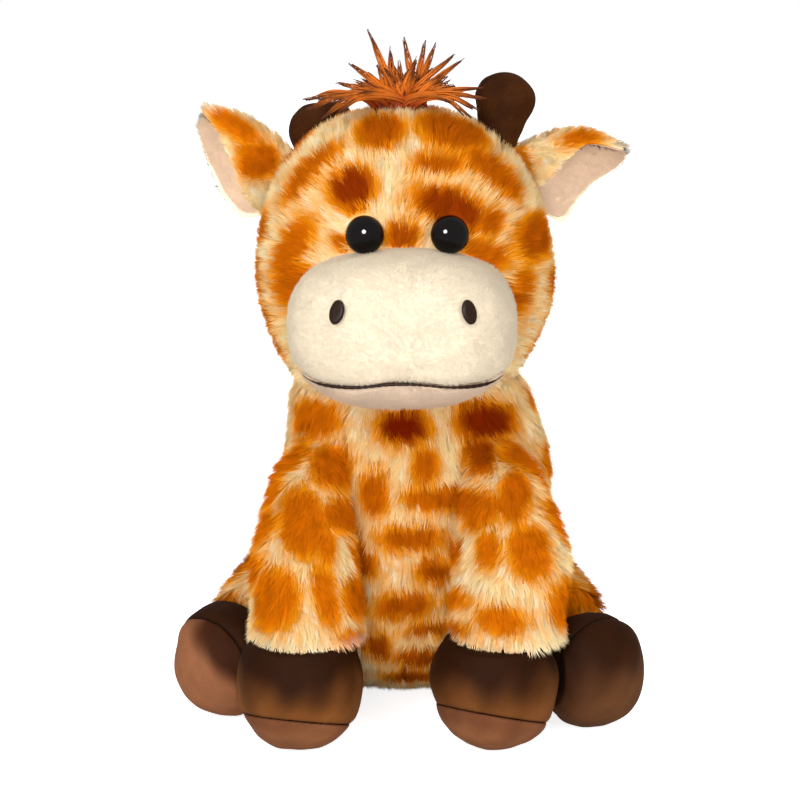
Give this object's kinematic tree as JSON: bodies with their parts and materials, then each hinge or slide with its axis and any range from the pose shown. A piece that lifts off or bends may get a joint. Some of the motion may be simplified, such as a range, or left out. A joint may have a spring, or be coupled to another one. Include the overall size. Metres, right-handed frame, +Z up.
{
  "type": "plush giraffe",
  "caption": "Seated plush giraffe with a turning head, swinging front legs, splaying hind legs, bending ears and horns, and a tail.",
  "frame": {"origin": "middle of the seat, on the surface that the toy sits on", "axes": "-Y the way the toy looks, +X towards its own left, +Z up"},
  "size_m": [0.1841, 0.1594, 0.2589],
  "materials": {
    "printed_fur": "plush pile, printed in orange-brown patches on cream",
    "muzzle": "cream short-pile velboa",
    "ear_lining": "pale pink short-pile velboa",
    "hoof": "dark brown short-pile velboa",
    "sole": "mid brown short-pile velboa",
    "thread": "embroidery thread, dark brown",
    "yarn": "rust yarn",
    "eye": "polished black",
    "washer": "moulded nylon",
    "stuffing": "white polyester fibre",
    "bean_bag": "cotton bag of pellets"
  },
  "bodies": {
    "torso": {"belly_panel": "printed_fur", "back_cover": "printed_fur", "torso_stuffing": "stuffing", "bean_bag": "bean_bag"},
    "head": {"head_cover": "printed_fur", "head_stuffing": "stuffing", "muzzle_upper": "muzzle", "muzzle_chin": "muzzle", "mouth_thread": "thread", "nostril_left": "thread", "nostril_right": "thread", "eye_left": "eye", "eye_right": "eye", "eye_washer_left": "washer", "eye_washer_right": "washer", "hair_tuft": "yarn"},
    "ear_left": {"ear_left": "printed_fur", "ear_lining_left": "ear_lining"},
    "horn_left": {"horn_left": "hoof"},
    "ear_right": {"ear_right": "printed_fur", "ear_lining_right": "ear_lining"},
    "horn_right": {"horn_right": "hoof"},
    "front_leg_left": {"front_leg_left_sleeve": "printed_fur", "front_leg_left_hoof": "hoof", "front_leg_left_sole": "sole", "front_leg_left_stuffing": "stuffing"},
    "hind_leg_left": {"hind_leg_left_sleeve": "printed_fur", "hind_leg_left_hoof": "hoof", "hind_leg_left_sole": "sole", "hind_leg_left_stuffing": "stuffing"},
    "front_leg_right": {"front_leg_right_sleeve": "printed_fur", "front_leg_right_hoof": "hoof", "front_leg_right_sole": "sole", "front_leg_right_stuffing": "stuffing"},
    "hind_leg_right": {"hind_leg_right_sleeve": "printed_fur", "hind_leg_right_hoof": "hoof", "hind_leg_right_sole": "sole", "hind_leg_right_stuffing": "stuffing"},
    "tail": {"tail": "printed_fur", "tail_tuft": "hoof"}
  },
  "joints": [
    {"name": "neck_turn", "type": "hinge", "parent": "torso", "child": "head", "pos_m": [0, 0.002, 0.128], "axis": [0, 0, 1], "range_deg": [-30, 30], "stiffness_Nm_per_rad": 0.05},
    {"name": "ear_bend_left", "type": "hinge", "parent": "head", "child": "ear_left", "pos_m": [0.05069, 0.0088, 0.202], "axis": [-0.3856, 0, 0.9227], "range_deg": [-18, 18], "stiffness_Nm_per_rad": 0.01},
    {"name": "horn_bend_left", "type": "hinge", "parent": "head", "child": "horn_left", "pos_m": [0.039, 0.0048, 0.21971], "axis": [-0.9929, 0, 0.1191], "range_deg": [-18, 18], "stiffness_Nm_per_rad": 0.01},
    {"name": "ear_bend_right", "type": "hinge", "parent": "head", "child": "ear_right", "pos_m": [-0.05069, 0.0088, 0.202], "axis": [0.3856, 0, 0.9227], "range_deg": [-18, 18], "stiffness_Nm_per_rad": 0.01},
    {"name": "horn_bend_right", "type": "hinge", "parent": "head", "child": "horn_right", "pos_m": [-0.026, 0.0208, 0.22455], "axis": [0.5882, 0, -0.8087], "range_deg": [-18, 18], "stiffness_Nm_per_rad": 0.01},
    {"name": "shoulder_left", "type": "hinge", "parent": "torso", "child": "front_leg_left", "pos_m": [0.0365, -0.024, 0.114], "axis": [-1, 0, 0], "range_deg": [0, 45]},
    {"name": "shoulder_right", "type": "hinge", "parent": "torso", "child": "front_leg_right", "pos_m": [-0.035, -0.024, 0.114], "axis": [-1, 0, 0], "range_deg": [0, 45]},
    {"name": "hip_left", "type": "hinge", "parent": "torso", "child": "hind_leg_left", "pos_m": [0.046, 0.022, 0.031], "axis": [0, 0, 1], "range_deg": [0, 30]},
    {"name": "hip_right", "type": "hinge", "parent": "torso", "child": "hind_leg_right", "pos_m": [-0.046, 0.022, 0.031], "axis": [0, 0, -1], "range_deg": [0, 30]},
    {"name": "tail_swing", "type": "hinge", "parent": "torso", "child": "tail", "pos_m": [0, 0.046, 0.04], "axis": [0, 0, 1], "range_deg": [-30, 30], "stiffness_Nm_per_rad": 0.01}
  ]
}
